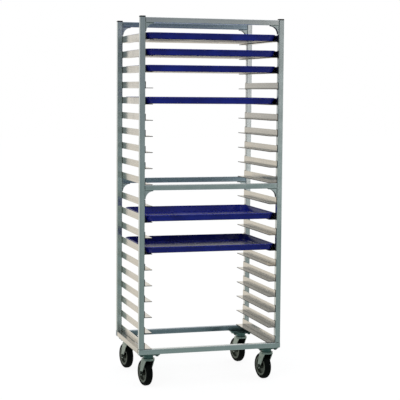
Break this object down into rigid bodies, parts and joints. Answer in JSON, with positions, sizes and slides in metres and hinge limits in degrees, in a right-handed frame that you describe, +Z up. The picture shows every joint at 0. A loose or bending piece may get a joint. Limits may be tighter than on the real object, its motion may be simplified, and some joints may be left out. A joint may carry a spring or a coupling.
{
  "type": "sheet pan rack",
  "caption": "Tall open welded tube rack on swivel casters, with angle runners up both sides and wide blue rimmed pans slid in from the long side.",
  "frame": {"origin": "on the floor, under the middle of the whole rack at rest, its wheels trailing to the rear and ten degrees to the left", "axes": "X along the wide open front, +Y from the front to the rear, +Z up"},
  "size_m": [0.7168, 0.5424, 1.776],
  "materials": {
    "frame_tube": "satin mill finish, blue-grey",
    "runner": "satin mill finish, warm grey",
    "post_cap": "moulded black plastic",
    "pan": "glossy navy coating, bare metal underneath",
    "caster_steel": "zinc plated",
    "fastener": "zinc plated, darker",
    "wheel_core": "moulded grey nylon",
    "tyre": "matt black rubber"
  },
  "bodies": {
    "frame": {"post_front_left": "frame_tube", "post_front_right": "frame_tube", "post_rear_left": "frame_tube", "post_rear_right": "frame_tube", "top_rail_front": "frame_tube", "top_rail_rear": "frame_tube", "mid_rail_front": "frame_tube", "mid_rail_rear": "frame_tube", "base_rail_front": "frame_tube", "base_rail_rear": "frame_tube", "base_rail_left": "runner", "base_rail_right": "runner", "post_caps": "post_cap", "corner_gussets": "frame_tube", "corner_plates": "frame_tube", "caster_top_plates": "caster_steel", "kingpins": "fastener", "caster_bolts": "fastener", "runners_01": "runner", "runners_02": "runner", "runners_03": "runner", "runners_04": "runner", "runners_05": "runner", "runners_06": "runner", "runners_07": "runner", "runners_08": "runner", "runners_09": "runner", "runners_10": "runner", "runners_11": "runner", "runners_12": "runner", "runners_13": "runner", "runners_14": "runner", "runners_15": "runner", "runners_16": "runner", "runners_17": "runner", "runners_18": "runner", "runners_19": "runner", "runners_20": "runner"},
    "fork_front_left": {"fork_front_left": "caster_steel", "axle_front_left": "fastener"},
    "wheel_front_left": {"wheel_front_left": "wheel_core", "tyre_front_left": "tyre"},
    "fork_front_right": {"fork_front_right": "caster_steel", "axle_front_right": "fastener"},
    "wheel_front_right": {"wheel_front_right": "wheel_core", "tyre_front_right": "tyre"},
    "fork_rear_left": {"fork_rear_left": "caster_steel", "axle_rear_left": "fastener"},
    "wheel_rear_left": {"wheel_rear_left": "wheel_core", "tyre_rear_left": "tyre"},
    "fork_rear_right": {"fork_rear_right": "caster_steel", "axle_rear_right": "fastener"},
    "wheel_rear_right": {"wheel_rear_right": "wheel_core", "tyre_rear_right": "tyre"},
    "pan_01": {"sheet_pan_01": "pan"},
    "pan_02": {"sheet_pan_02": "pan"},
    "pan_03": {"sheet_pan_03": "pan"},
    "pan_05": {"sheet_pan_05": "pan"},
    "pan_12": {"sheet_pan_12": "pan"},
    "pan_14": {"sheet_pan_14": "pan"}
  },
  "joints": [
    {"name": "swivel_front_left", "type": "hinge", "parent": "frame", "child": "fork_front_left", "pos_m": [-0.302, -0.22878, 0.141], "axis": [0, 0, 1], "continuous": true},
    {"name": "roll_front_left", "type": "hinge", "parent": "fork_front_left", "child": "wheel_front_left", "pos_m": [-0.30808, -0.19432, 0.0635], "axis": [0.9848, 0.1736, 0], "continuous": true},
    {"name": "swivel_front_right", "type": "hinge", "parent": "frame", "child": "fork_front_right", "pos_m": [0.302, -0.22878, 0.141], "axis": [0, 0, 1], "continuous": true},
    {"name": "roll_front_right", "type": "hinge", "parent": "fork_front_right", "child": "wheel_front_right", "pos_m": [0.29592, -0.19432, 0.0635], "axis": [0.9848, 0.1736, 0], "continuous": true},
    {"name": "swivel_rear_left", "type": "hinge", "parent": "frame", "child": "fork_rear_left", "pos_m": [-0.302, 0.17322, 0.141], "axis": [0, 0, 1], "continuous": true},
    {"name": "roll_rear_left", "type": "hinge", "parent": "fork_rear_left", "child": "wheel_rear_left", "pos_m": [-0.30808, 0.20768, 0.0635], "axis": [0.9848, 0.1736, 0], "continuous": true},
    {"name": "swivel_rear_right", "type": "hinge", "parent": "frame", "child": "fork_rear_right", "pos_m": [0.302, 0.17322, 0.141], "axis": [0, 0, 1], "continuous": true},
    {"name": "roll_rear_right", "type": "hinge", "parent": "fork_rear_right", "child": "wheel_rear_right", "pos_m": [0.29592, 0.20768, 0.0635], "axis": [0.9848, 0.1736, 0], "continuous": true},
    {"name": "slide_out_01", "type": "slide", "parent": "frame", "child": "pan_01", "axis": [0, -1, 0], "range_m": [0, 0.52]},
    {"name": "slide_out_02", "type": "slide", "parent": "frame", "child": "pan_02", "axis": [0, -1, 0], "range_m": [0, 0.52]},
    {"name": "slide_out_03", "type": "slide", "parent": "frame", "child": "pan_03", "axis": [0, -1, 0], "range_m": [0, 0.52]},
    {"name": "slide_out_05", "type": "slide", "parent": "frame", "child": "pan_05", "axis": [0, -1, 0], "range_m": [0, 0.52]},
    {"name": "slide_out_12", "type": "slide", "parent": "frame", "child": "pan_12", "axis": [0, -1, 0], "range_m": [0, 0.52]},
    {"name": "slide_out_14", "type": "slide", "parent": "frame", "child": "pan_14", "axis": [0, -1, 0], "range_m": [0, 0.52]}
  ]
}
